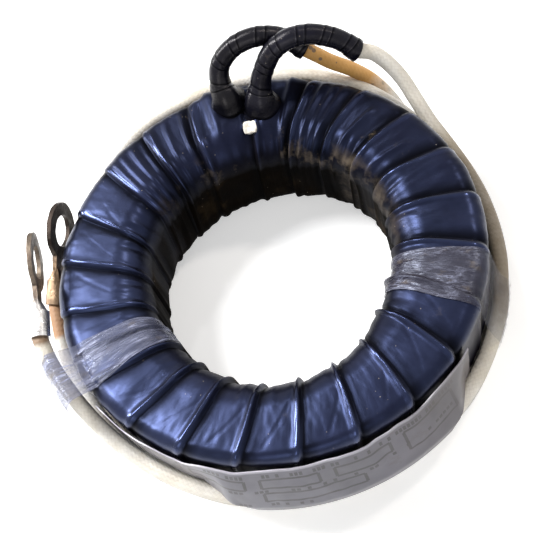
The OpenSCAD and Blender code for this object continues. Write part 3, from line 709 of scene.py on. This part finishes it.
def film_look(name, haze, tint, run, crumple, clear):
    """Clear tape: thin haze, with painted highlights along its wrinkles, and browned here and there. Run stretches
    the wrinkles, crumple deepens them, and the film clears past a share of its length."""
    n = Nodes(name)

    def pattern(across, along, *how):
        return n.noise(n.coords((across, along, 1), "UV"), 1.0, *how)

    wrinkle = pattern(0.62, run, 3, 0.5, 0.25)
    fine = pattern(2.2, run * 1.5, 3, 0.5, 0.2)
    patch = pattern(0.16, 0.09, 3, 0.5)
    here = n.ramp(patch, [(0.42, 0.04 * crumple), (0.66, crumple)])
    ridge = n.times(n.ramp(wrinkle, [(0.46, 0.0), (0.50, 1.0), (0.56, 0.0)]), here)
    thin = n.times(n.ramp(fine, [(0.50, 0.0), (0.54, 0.7), (0.60, 0.0)]), here)
    along = n.parts(n.uv())[1]
    tail = n.ramp(n.math("DIVIDE", along, FILM_RUN), [(clear, 1.0), (clear + 0.12, 0.25)])
    body = n.times(n.linear(patch, haze * 0.8, haze * 0.3), tail)
    # lighter and more opaque along the wrinkles: painted highlights
    wrinkle_highlight = n.times(n.math("MAXIMUM", ridge, thin), tail)
    brown = n.ramp(pattern(0.3, 0.12, 5, 0.65), [(0.56, 0.0), (0.66, 0.55)])
    colour = n.mix(brown, tint, (0.20, 0.155, 0.11))
    colour = n.mix(wrinkle_highlight, colour, (0.50, 0.53, 0.72))
    return n.set(Base_Color=colour, Roughness=n.linear(fine, 0.2, 0.3 - 0.2 * crumple),
                 Alpha=n.linear(wrinkle_highlight, 0.55, body, clamp=True),
                 Normal=n.bump(fine, 0.25 * crumple, 0.0005, n.bump(wrinkle, 0.8 * crumple, 0.0018)), IOR=1.5,
                 Specular_IOR_Level=0.4 + 0.6 * crumple, Specular_Tint=(0.75, 0.82, 1.0, 1.0))


def dab_look(name):
    """Dried white paint."""
    n = Nodes(name)
    grain = n.noise(n.coords(), 900.0, 5, 0.6)
    colour = n.ramp(grain, [(0.35, (0.55, 0.5, 0.42)), (0.6, (0.82, 0.8, 0.74))])
    return n.set(Base_Color=colour, Roughness=0.6, Normal=n.bump(grain, 0.4, 0.0003))


class TransformerSizes(bpy.types.PropertyGroup):
    """Sizes and colours that a user would change."""
    wrap_columns: bpy.props.IntProperty(
        name="Columns a turn", description="Columns of faces across each turn of tape", default=32, min=8, max=32)
    floor_size: bpy.props.FloatProperty(
        name="Floor", description="Side of the floor", default=4.0, min=1.0, unit="LENGTH")
    floor_colour: bpy.props.FloatVectorProperty(
        name="Floor colour", description="Colour of the floor and the backdrop", default=(0.93, 0.93, 0.93),
        subtype="COLOR", size=3, min=0.0, max=1.0)
    key_power: bpy.props.FloatProperty(
        name="Key light", description="Power of the large soft light", default=6.2, min=0.0, unit="POWER")


# the camera: its place, its right, up and ahead, and its lens in millimetres
CAMERA_AT = (0.0, -0.131041, 0.269867)
CAMERA_AXES = ((0.91277039, -0.35817198, -0.19637475), (0.40845646, 0.80466503, 0.43090314),
               (-0.00367847, 0.47352616, -0.88077207))
CAMERA_LENS = 69.983


class TRANSFORMER_OT_camera(bpy.types.Operator):
    """Add the camera, looking down on the ring from the label's side."""
    bl_idname = "transformer.camera"
    bl_label = "Add camera"

    def execute(self, context):
        bpy.ops.object.camera_add(location=CAMERA_AT)
        cam = context.object
        cam.name = "view_camera"
        right, up, ahead = (Vector(axis) for axis in CAMERA_AXES)
        cam.rotation_mode = "QUATERNION"
        cam.rotation_quaternion = Matrix((right, up, -ahead)).transposed().to_quaternion()
        cam.data.sensor_width = 36
        cam.data.lens = CAMERA_LENS
        cam.data.clip_start, cam.data.clip_end = 0.01, 20
        context.scene.camera = cam
        return {"FINISHED"}


# the braids: light, dark and stained colours, how soiled, how far the end's colour goes back, that
# colour, and where the golden start ends
BRAIDS = {
    1: ("cream_braid", (0.88, 0.85, 0.79), (0.20, 0.15, 0.10), (0.76, 0.69, 0.56), 0.22, 2.4,
        (0.20, 0.11, 0.05), -20.0),
    2: ("stained_braid", (0.84, 0.83, 0.80), (0.20, 0.14, 0.08), (0.66, 0.60, 0.50), 0.25, 10,
        (0.36, 0.17, 0.06), 30.0)}


class TRANSFORMER_OT_leads(bpy.types.Operator):
    """Add the two braided leads as cords, from their loops to their terminals."""
    bl_idname = "transformer.leads"
    bl_label = "Add braided leads"

    def execute(self, context):
        for k, route in ((1, LEAD_1), (2, LEAD_2)):
            path, s = evenly(catmull(lead_points(route, k), 12), 1.0)
            name, light, dark, stain, amount, back, end_colour, golden = BRAIDS[k]
            look = braid(name, light, dark, stain, amount, s[-1] - back, end_colour, golden)

            def radius(s, b, whole):
                return LEAD_D / 2 * (1 + 0.025 * noise.noise((s / 9, math.cos(b) * 1.5, math.sin(b) * 1.5)))

            o = tube_mesh("lead_%d_braid" % k, path, radius, 20, None, terminal_frame(k)[1])
            smooth(o)
            finish_piece(o, look, "lead_%d" % k)
        return {"FINISHED"}


def cut_with(o, tool, how):
    """Join a tool's solid to a piece, or cut it out of it."""
    apply_modifier(o, "BOOLEAN", operation=how, object=tool)
    bpy.data.objects.remove(tool)


def rod(name, r1, r2, depth, at, axis):
    """A cone or cylinder along X, Y or Z, centred at a point, in millimetres."""
    clear_selection()
    turn = {"X": (0, math.pi / 2, 0), "Y": (math.pi / 2, 0, 0), "Z": (0, 0, 0)}[axis]
    bpy.ops.mesh.primitive_cone_add(vertices=64, radius1=r1, radius2=r2, depth=depth, location=at, rotation=turn)
    o = named(name)
    place_applied(o)
    return o


# the metals: slot, ring, barrel and tarnish colours, roughness, and where along Y the barrel ends
METALS = {1: ("tinned_copper", (0.16, 0.13, 0.10), (0.66, 0.64, 0.63), (0.07, 0.05, 0.04), 0.2, 9.5),
          2: ("tarnished_copper", (0.035, 0.028, 0.024), (0.20, 0.135, 0.085), (0.03, 0.02, 0.015), 0.25, 26)}


class TRANSFORMER_OT_terminals(bpy.types.Operator):
    """Add the ring terminals with their tongues, flared necks and crimped barrels."""
    bl_idname = "transformer.terminals"
    bl_label = "Add ring terminals"

    def execute(self, context):
        looks = {k: metal(*METALS[k]) for k in METALS}
        for k in METALS:
            o = rod("ring_terminal_%d" % k, RING_D / 2, RING_D / 2, RING_T, (0, 0, 0), "Y")
            # a tongue that narrows away from the ring
            middle = -HOLE_D / 2 - 4
            clear_selection()
            bpy.ops.mesh.primitive_cube_add(size=1, location=(middle, 0, 0))
            tongue = named("tongue")
            tongue.scale = (10, RING_T, 1)
            place_applied(tongue)
            for v in tongue.data.vertices:
                v.co.z *= 7.2 if v.co.x > middle else 4.6
            cut_with(o, tongue, "UNION")
            # a neck that flattens towards the tongue
            middle = -REACH + BARREL_LEN / 2 + 1.6
            neck = rod("neck", BARREL_D / 2 - 0.05, 1.6, 4.2, (middle, 0, 0), "X")
            for v in neck.data.vertices:
                if v.co.x > middle:
                    v.co.y *= 0.42
                    v.co.z *= 1.5
            cut_with(o, neck, "UNION")
            for name, r, depth, at, axis, how in (
                    ("barrel", BARREL_D / 2, BARREL_LEN, (-REACH, 0, 0), "X", "UNION"),
                    ("hole", HOLE_D / 2, 9, (0, 0, 0), "Y", "DIFFERENCE"),
                    ("bore", BORE_D / 2, 6.4, (-REACH - BARREL_LEN / 2 + 2.2, 0, 0), "X", "DIFFERENCE"),
                    ("crimp", 2, 12, (-REACH, BARREL_D / 2 + 1.35, 0), "Z", "DIFFERENCE")):
                cut_with(o, rod(name, r, r, depth, at, axis), how)
            apply_modifier(o, "BEVEL", width=0.3, segments=3, limit_method="ANGLE", angle_limit=math.radians(35))
            # a little out of flat, and moved to its place
            stud, x, y, z = terminal_frame(k)
            co = np.array([v.co for v in o.data.vertices])
            co[:, 1] += 0.22 * np.array([noise.noise(v.co * 0.35) for v in o.data.vertices])
            move_points(o, stud + co[:, :1] * x + co[:, 1:2] * y + co[:, 2:] * z)
            smooth(o, 40)
            finish_piece(o, looks[k], "terminal_%d" % k)
            dress(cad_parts["strand_end_%d" % k], strands("copper_strands_%d" % k))
        return {"FINISHED"}


# rows of faces over each corner of the section and the side after it
WRAP_ROWS = (18, 16, 12, 18, 26, 18, 16, 6)


class TRANSFORMER_OT_wrap(bpy.types.Operator):
    """Add the lapped vinyl tape round the ring."""
    bl_idname = "transformer.wrap"
    bl_label = "Add tape wrap"

    def execute(self, context):
        per = context.scene.transformer.wrap_columns
        j, at = [], 0.0
        for n, span in zip(WRAP_ROWS, [s for pair in zip(CORNER_STEPS, SIDE_STEPS) for s in pair]):
            j += [at + span * i / n for i in range(n)]
            at += span
        j = np.r_[j, SECTION_N]
        # three in eight of the columns lie at the turn's welt and edge
        dense = max(per * 3 // 8, 1)
        phase = np.r_[np.linspace(0, 0.86, per - dense, endpoint=False), np.linspace(0.86, 1, dense, endpoint=False)]
        col = np.r_[(np.arange(TURNS)[:, None] + phase[None, :]).ravel(), TURNS]
        # the columns follow the turns' edges, and go back by one turn under the ring
        shear = np.where(j <= BACK_FROM, j, BACK_FROM * (SECTION_N - j) / (SECTION_N - BACK_FROM))
        X = col[:, None] + shear[None, :] / SECTION_N - TOP_SHARE
        J = np.broadcast_to(j[None, :], X.shape).copy()
        turn = X + TOP_SHARE - J / SECTION_N
        o = grid_piece("vinyl_wrap", wrap_surface(turn_angle(X), J, turn), np.stack([turn, J / SECTION_N], -1))
        # the sheet's edges meet, and are joined
        pick(o)
        bpy.ops.object.mode_set(mode="EDIT")
        bpy.ops.mesh.select_all(action="SELECT")
        bpy.ops.mesh.remove_doubles(threshold=2e-7)
        bpy.ops.mesh.normals_make_consistent(inside=False)
        bpy.ops.object.mode_set(mode="OBJECT")
        smooth(o)
        finish_piece(o, vinyl("vinyl_tape"), "tape_wrap")
        return {"FINISHED"}


LOOP_LAP = 3.4                              # between two laps of a loop's tape, in millimetres
LOOP_LEAVE = {1: (2.9, -1.4, -2.6), 2: (2.7, -2.2, -2.4)}     # which way each loop's lead leaves it


class TRANSFORMER_OT_loops(bpy.types.Operator):
    """Add the taped loops that the leads leave the ring by."""
    bl_idname = "transformer.loops"
    bl_label = "Add taped loops"

    def execute(self, context):
        mat = vinyl("loop_vinyl", 0.17, (1.0, 0.95, 0.97, 1.0), 0.0, LOOP_LAP)
        for k, route, lead in ((1, LOOP_1, LEAD_1), (2, LOOP_2, LEAD_2)):
            points = loop_points(route, lead_points(lead, k)[0])
            points = np.vstack([points[0] - (0, 0, 1.7), points])
            path, s = evenly(catmull(points, 12), 0.4)

            def radius(s, b, whole):
                # a folded skirt at the root, the laps' edges, rumples, and a ruck where the lead leaves
                root = max(1 - s / 10.5, 0.0) ** 1.9
                lap = ((s + 0.8 * math.sin(0.9 * s)) / LOOP_LAP + b / (2 * math.pi)) % 1.0
                edge = 0.17 * (1 - lap) if lap > 0.05 else 0.17 * lap / 0.05
                rumple = 0.09 * noise.noise((s / 3.2, math.cos(b) * 1.6, math.sin(b) * 1.6))
                fold = 0.26 * root * math.sin(5 * b + s * 0.25 + k)
                bunch = step01((s - whole + 4.5) / 3.5)
                ruck = bunch * (0.22 + 0.30 * abs(noise.noise((s / 1.1, math.cos(b) * 2.6, math.sin(b) * 2.6))))
                return LOOP_D / 2 - 0.15 + edge + rumple + 3.4 * root + fold + ruck

            o = tube_mesh("taped_loop_%d" % k, path, radius, 40, (0, 0, 1), LOOP_LEAVE[k])
            smooth(o)
            finish_piece(o, mat, "lead_%d_loop" % k)
        return {"FINISHED"}


# the label's lower edge: angle, distance from the wall, height
LABEL_LOW = [
    (199, 0.3, 24.2), (206, 0.3, 20.4), (213, 0.3, 18), (221, 0.3, 16.4), (229, 0.5, 15.2), (234, 2.6, 14.8),
    (238, 4.9, 14.4), (243, 4.9, 10), (248, 4.4, 7.8), (262, 4.2, 7.2), (276, 4.2, 7.2), (289, 4.3, 7.6),
    (294, 4.9, 10), (298, 4.9, 14), (302, 2.6, 14.2), (305, 0.5, 14.2), (308, 0.3, 14.2)]
LABEL_FROM, LABEL_TO = LABEL_LOW[0][0], LABEL_LOW[-1][0]
LABEL_TOP = 30.3                            # height of its upper edge
BELLY, BELLY_OFF, BELLY_Z = 0.74, 4.95, 12.6        # where it stands out most: share down, distance, height


class TRANSFORMER_OT_label(bpy.types.Operator):
    """Add the paper label over the stowed leads."""
    bl_idname = "transformer.label"
    bl_label = "Add label"

    def execute(self, context):
        # columns run along the label, and rows down it from its upper edge over the belly to its lower edge
        a, v = np.linspace(LABEL_FROM, LABEL_TO, 180)[:, None], np.linspace(0, 1, 34)[None, :]
        la, lo, lz = np.array(LABEL_LOW).T
        low_o, low_z = np.interp(a, la, lo), np.interp(a, la, lz)
        full = step01((a - 234) / 6) * step01((300 - a) / 6)     # where the leads are under it
        top_z = LABEL_TOP + 0.45 * np.sin(np.radians(TURNS * (a - 10)))
        top_z = top_z + 0.25 * np.sin(np.radians(2.7 * (a - LABEL_FROM)) * 3)
        top_o = 0.35 + 0.35 * noise_grid(a / 6.5, a * 0, 9) ** 2
        belly_o, belly_z = BELLY_OFF * full + low_o * (1 - full), BELLY_Z * full + low_z * (1 - full)
        upper, lower = np.clip(v / BELLY, 0, 1), np.clip((v - BELLY) / (1 - BELLY), 0, 1)
        z = top_z + (belly_z - top_z) * upper + (low_z - belly_z) * lower
        off = top_o + (belly_o - top_o) * upper + (low_o - belly_o) * lower
        off = off + 0.55 * full * np.sin(np.pi * upper) * 0.4
        a, v = np.broadcast_arrays(a, v)
        ripple = 0.16 * noise_grid(a / 4.2, v * 3, 11) + 0.10 * noise_grid(a / 1.8, v * 6, 12)
        off = off + 0.2 + ripple * np.sin(np.pi * np.clip(v * 0.9 + 0.1, 0, 1))
        pts = on_ring(a, OUTER + outer_swell(a) + off, z)
        uv = np.stack([(a - LABEL_FROM) * 0.98, top_z - z], -1)
        o = grid_piece("paper_label", pts[::-1], uv[::-1])
        apply_modifier(o, "SOLIDIFY", thickness=0.3 * MM, offset=1.0)
        smooth(o, 40)
        finish_piece(o, paper("label_paper"), "label")
        return {"FINISHED"}


FILM_START = 20.5                           # the step in the window at which the films start
# the films' way over the leads: distance from the wall, height
OVER_RIGHT = [(0.6, 26), (2.2, 18.5), (4.7, 13.5), (4.5, 10), (2.4, 7.2), (0.5, 5.8)]
OVER_LEFT = [(3.6, 36.2), (5.6, 35.2), (7.1, 32), (7.1, 23), (6.4, 17), (5.8, 11.6)]


class TRANSFORMER_OT_films(bpy.types.Operator):
    """Add the two bands of clear tape that tie the leads to the ring."""
    bl_idname = "transformer.films"
    bl_label = "Add clear tapes"

    def band(self, name, mid, half, last_step, over, seed, mat):
        """One band at an angle, half as wide: from the window over the tape to its last step, then over the leads."""
        cols, rows = 46, 150
        steps = np.linspace(FILM_START, last_step, 100)
        across, down = np.linspace(-1, 1, cols), np.linspace(0, 1, rows)
        off, height = np.array(over, float).T
        pts = np.zeros((cols, rows, 3))
        for c, w in enumerate(across):
            angle = mid + half * w * (1 + 0.06 * noise_grid(down * 9, down * 0 + w * 0.3, seed))
            a = np.interp(np.linspace(0, 0.66, len(steps)), down, angle)
            on_wrap = wrap_surface(a, steps, turn_at(a) + TOP_SHARE - steps / SECTION_N, 0.3)
            a = np.interp(np.linspace(0.7, 1, len(over)), down, angle)
            tail = on_ring(a, OUTER + outer_swell(a) + off + 0.15, height)
            whole, _ = evenly(catmull(np.vstack([on_wrap[::3], tail]), 6), 0.25)
            d = np.linspace(0, len(whole) - 1, rows)
            pts[c] = np.stack([np.interp(d, np.arange(len(whole)), whole[:, q]) for q in range(3)], -1)
        # creases, which stand out from the middle of the ring's section
        x, y = np.meshgrid(across * half, down * 18, indexing="ij")
        ring = pts[..., :2] / np.linalg.norm(pts[..., :2], axis=-1, keepdims=True) * SECTION_R
        out = pts - np.concatenate([ring, np.full(pts.shape[:2] + (1,), HEIGHT / 2)], -1)
        out /= np.linalg.norm(out, axis=-1, keepdims=True)
        crease = (0.22 * np.abs(noise_grid(x / 1.4 + y * 0.2, y / 1.6, seed + 1))
                  + 0.12 * noise_grid(x / 0.6, y / 2.5, seed + 2))
        pts = pts + out * np.maximum(crease, -0.1)[..., None]
        pts[..., 2] = np.maximum(pts[..., 2], 0.1)
        o = grid_piece(name, pts, np.stack([x, y * (FILM_RUN / 18)], -1))
        apply_modifier(o, "SOLIDIFY", thickness=0.1 * MM, offset=1.0)
        smooth(o, 60)
        finish_piece(o, mat, name)

    def execute(self, context):
        right = film_look("right_film", 0.72, (0.04, 0.036, 0.052), 0.14, 0.45, 0.55)
        left = film_look("left_film", 0.46, (0.17, 0.18, 0.27), 0.045, 1.0, 0.75)
        self.band("clear_tape_right", 326.2, 8.3, 7.2, OVER_RIGHT, 21, right)
        self.band("clear_tape_left", 189.5, 7.4, 8.4, OVER_LEFT, 31, left)
        return {"FINISHED"}


MARK_ANGLE, MARK_LEAN = 74.5, 17            # the mark's place round the ring and its lean outwards


class TRANSFORMER_OT_mark(bpy.types.Operator):
    """Add the crumpled white polarity mark."""
    bl_idname = "transformer.mark"
    bl_label = "Add polarity mark"

    def execute(self, context):
        clear_selection()
        bpy.ops.mesh.primitive_cube_add(size=2)
        o = named("white_dab")
        bpy.ops.object.mode_set(mode="EDIT")
        bpy.ops.mesh.select_all(action="SELECT")
        bpy.ops.mesh.subdivide(number_cuts=11)
        bpy.ops.object.mode_set(mode="OBJECT")
        lo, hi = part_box("polarity_mark")
        mid = (np.array(lo) + np.array(hi)) / 2 / MM
        a, lean = math.radians(MARK_ANGLE), math.radians(MARK_LEAN)
        out, along = np.array([math.cos(a), math.sin(a), 0]), np.array([-math.sin(a), math.cos(a), 0])
        up = np.array([0, 0, 1]) * math.cos(lean) - out * math.sin(lean)
        slope = np.cross(along, up)
        pts = []
        for v in o.data.vertices:
            x, y, z = v.co
            shrink = 1 - 0.14 * (abs(x) * abs(y)) ** 2
            bump = noise.noise((x * 1.3, y * 1.3, 4)) * 0.5 + noise.noise((x * 3.5, y * 3.5, 7)) * 0.25
            h = 0.5 * z + (bump * 0.7 if z > 0 else 0)
            pts.append(mid + along * x * 1.85 * shrink * (1 + 0.12 * noise.noise((y * 2, z, 1)))
                       + slope * y * 1.75 * shrink * (1 + 0.12 * noise.noise((x * 2, z, 3))) + up * h)
        move_points(o, pts)
        smooth(o, 50)
        finish_piece(o, dab_look("white_mark"), "polarity_mark")
        return {"FINISHED"}


class TRANSFORMER_OT_hidden(bpy.types.Operator):
    """Finish the sealed core, boards, winding and cotton."""
    bl_idname = "transformer.hidden"
    bl_label = "Finish sealed layers"

    def execute(self, context):
        finishes = {"steel": ["core"], "copper": ["secondary_winding"], "cotton": ["winding_cotton"],
                    "board": ["core_sleeve_inner", "core_sleeve_outer", "core_ring_top", "core_ring_bottom"]}
        for kind, nodes in finishes.items():
            mat = hidden_solid(kind + "_finish", kind)
            for node in nodes:
                dress(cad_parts[node], mat)
        return {"FINISHED"}


# the lamps: place, size, share of the key light's power, and colour; all face one point
WHITE, WARM = (1.0, 1.0, 1.0), (1.0, 0.93, 0.85)
LAMPS = (("key_light", (-0.66, 0.50, 0.42), 0.22, 1.0, WHITE), ("top_light", (-0.38, 0.43, 0.79), 0.30, 1.55, WHITE),
         ("spot_light", (0.05, 0.60, 0.78), 0.05, 0.12, WHITE), ("rim_light", (0.55, 0.20, 0.80), 0.12, 0.35, WARM),
         ("fill_light", (-0.30, -0.72, 0.50), 0.5, 0.3, WHITE))
LIT_POINT = (0, 0, 0.02)


class TRANSFORMER_OT_stage(bpy.types.Operator):
    """Add the pale floor, the white surroundings and the soft lights."""
    bl_idname = "transformer.stage"
    bl_label = "Add stage"

    def execute(self, context):
        p = context.scene.transformer
        clear_selection()
        bpy.ops.mesh.primitive_plane_add(size=p.floor_size, location=(0, 0, -0.0002))
        floor = named("floor")
        n = Nodes("pale_floor")
        tone = n.mix(n.noise(n.coords(), 40.0, 3, 0.5), (0.80, 0.80, 0.80), tuple(p.floor_colour))
        dress(floor, n.set(Base_Color=tone, Roughness=0.9, Emission_Color=(1, 1, 1, 1),
                           Emission_Strength=n.times(n.seen(), 0.45)))

        world = context.scene.world or bpy.data.worlds.new("surroundings")
        context.scene.world = world
        n = Nodes("surroundings", world)
        n.tree.nodes.clear()
        back = n.add("Background", {"Color": (1, 1, 1, 1), "Strength": n.linear(n.seen(), 0.6, 0.4)})
        n.add("OutputWorld", {"Surface": back})

        for name, where, size, share, colour in LAMPS:
            bpy.ops.object.light_add(type="AREA", location=where)
            lamp = context.object
            lamp.name = name
            lamp.data.shape = "DISK"
            lamp.data.size = size
            lamp.data.energy = p.key_power * share
            lamp.data.color = colour
            lamp.rotation_mode = "QUATERNION"
            lamp.rotation_quaternion = (Vector(LIT_POINT) - Vector(where)).to_track_quat("-Z", "Y")
        context.scene.view_settings.view_transform = "Standard"
        return {"FINISHED"}


class TRANSFORMER_PT_panel(bpy.types.Panel):
    """Lists the pieces in the order in which they are added."""
    bl_label = "Transformer"
    bl_idname = "TRANSFORMER_PT_panel"
    bl_space_type = "VIEW_3D"
    bl_region_type = "UI"
    bl_category = "Transformer"

    def draw(self, context):
        for prop in TransformerSizes.__annotations__:
            self.layout.prop(context.scene.transformer, prop)
        for op in OPERATORS:
            self.layout.operator(op.bl_idname)


OPERATORS = (TRANSFORMER_OT_camera, TRANSFORMER_OT_terminals, TRANSFORMER_OT_leads, TRANSFORMER_OT_wrap,
             TRANSFORMER_OT_loops, TRANSFORMER_OT_label, TRANSFORMER_OT_films, TRANSFORMER_OT_mark,
             TRANSFORMER_OT_hidden, TRANSFORMER_OT_stage)
CLASSES = (TransformerSizes, *OPERATORS, TRANSFORMER_PT_panel)


def register():
    for c in CLASSES:
        bpy.utils.register_class(c)
    bpy.types.Scene.transformer = bpy.props.PointerProperty(type=TransformerSizes)


def unregister():
    del bpy.types.Scene.transformer
    for c in reversed(CLASSES):
        bpy.utils.unregister_class(c)


def main():
    register()
    for op in OPERATORS:
        group, name = op.bl_idname.split(".")
        getattr(getattr(bpy.ops, group), name)()


if __name__ == "__main__":
    main()
